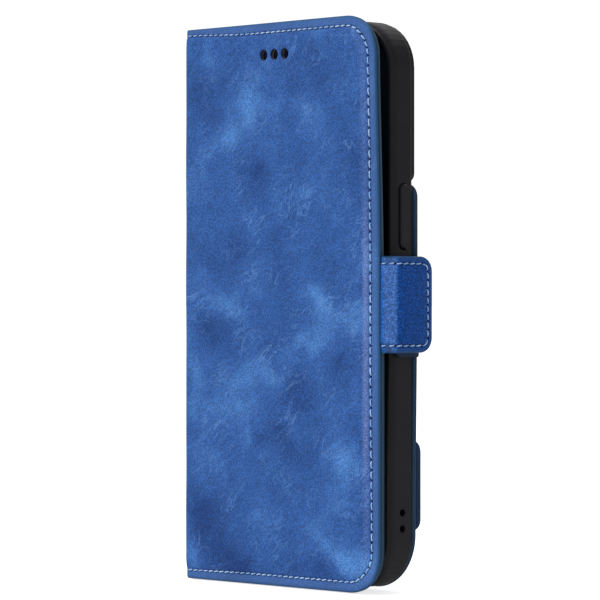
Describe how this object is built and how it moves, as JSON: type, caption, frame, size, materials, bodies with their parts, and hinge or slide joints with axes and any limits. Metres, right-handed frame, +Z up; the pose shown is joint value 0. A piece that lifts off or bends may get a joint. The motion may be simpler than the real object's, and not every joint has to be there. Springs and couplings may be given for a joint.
{
  "type": "phone wallet case",
  "caption": "Folio phone case in blue leather with card pockets, a soft black phone tray, a magnetic side clasp and a rear stand tab.",
  "frame": {"origin": "middle of the bottom of the whole case's box, on the surface that it stands on", "axes": "+Z up along the case's height, +X from the spine to the fore-edge, +Y from the front cover to the back panel"},
  "size_m": [0.0872, 0.0192, 0.168],
  "materials": {
    "leather_blue": "waxed pull-up leather, satin",
    "leather_dark": "smooth leather, satin",
    "lining_blue": "thin smooth leather, matte",
    "tray_black": "soft moulded plastic, satin",
    "thread_blue": "twisted sewing thread",
    "board_grey": "stiffener board, matte",
    "steel": "plated steel"
  },
  "bodies": {
    "case": {"tpu_shell": "tray_black", "back_lining": "lining_blue", "back_board": "board_grey", "back_leather": "leather_blue", "back_thread": "thread_blue", "keeper_leather": "leather_dark", "keeper_plate": "steel", "keeper_lining": "lining_blue", "keeper_thread": "thread_blue", "stand_anchor": "leather_blue", "stand_anchor_thread": "thread_blue"},
    "spine": {"spine_leather": "leather_blue", "spine_strip": "board_grey", "spine_lining": "lining_blue"},
    "front_cover": {"front_leather": "leather_blue", "front_board": "board_grey", "front_lining": "lining_blue", "pocket_panel": "lining_blue", "card_pocket_1": "lining_blue", "card_pocket_2": "lining_blue", "card_pocket_3": "lining_blue", "front_thread": "thread_blue", "clasp_anchor": "leather_dark"},
    "clasp": {"clasp_leather": "leather_blue", "clasp_lining": "leather_dark", "clasp_magnet": "steel", "clasp_thread": "thread_blue"},
    "stand_tab": {"stand_leather": "leather_blue", "stand_plate": "steel", "stand_lining": "leather_dark", "stand_thread": "thread_blue"},
    "side_button": {"side_button": "tray_black"},
    "volume_up_button": {"volume_up_button": "tray_black"},
    "volume_down_button": {"volume_down_button": "tray_black"}
  },
  "joints": [
    {"name": "spine_fold", "type": "hinge", "parent": "case", "child": "spine", "pos_m": [-0.0436, 0.0075, 0.084], "axis": [0, 0, -1], "range_deg": [0, 180]},
    {"name": "cover_fold", "type": "hinge", "parent": "spine", "child": "front_cover", "pos_m": [-0.0436, -0.0096, 0.084], "axis": [0, 0, -1], "range_deg": [0, 180]},
    {"name": "clasp_fold", "type": "hinge", "parent": "front_cover", "child": "clasp", "pos_m": [0.041, -0.00815, 0.0839], "axis": [0, 0, -1], "range_deg": [0, 100]},
    {"name": "stand_fold", "type": "hinge", "parent": "case", "child": "stand_tab", "pos_m": [0, 0.0077, 0.03085], "axis": [0, 0, -1], "range_deg": [-70, 0]},
    {"name": "side_button_press", "type": "slide", "parent": "case", "child": "side_button", "axis": [-1, 0, 0], "range_m": [0, 0.0005], "stiffness_N_per_m": 800},
    {"name": "volume_up_press", "type": "slide", "parent": "case", "child": "volume_up_button", "axis": [1, 0, 0], "range_m": [0, 0.0004], "stiffness_N_per_m": 800},
    {"name": "volume_down_press", "type": "slide", "parent": "case", "child": "volume_down_button", "axis": [1, 0, 0], "range_m": [0, 0.0004], "stiffness_N_per_m": 800}
  ]
}
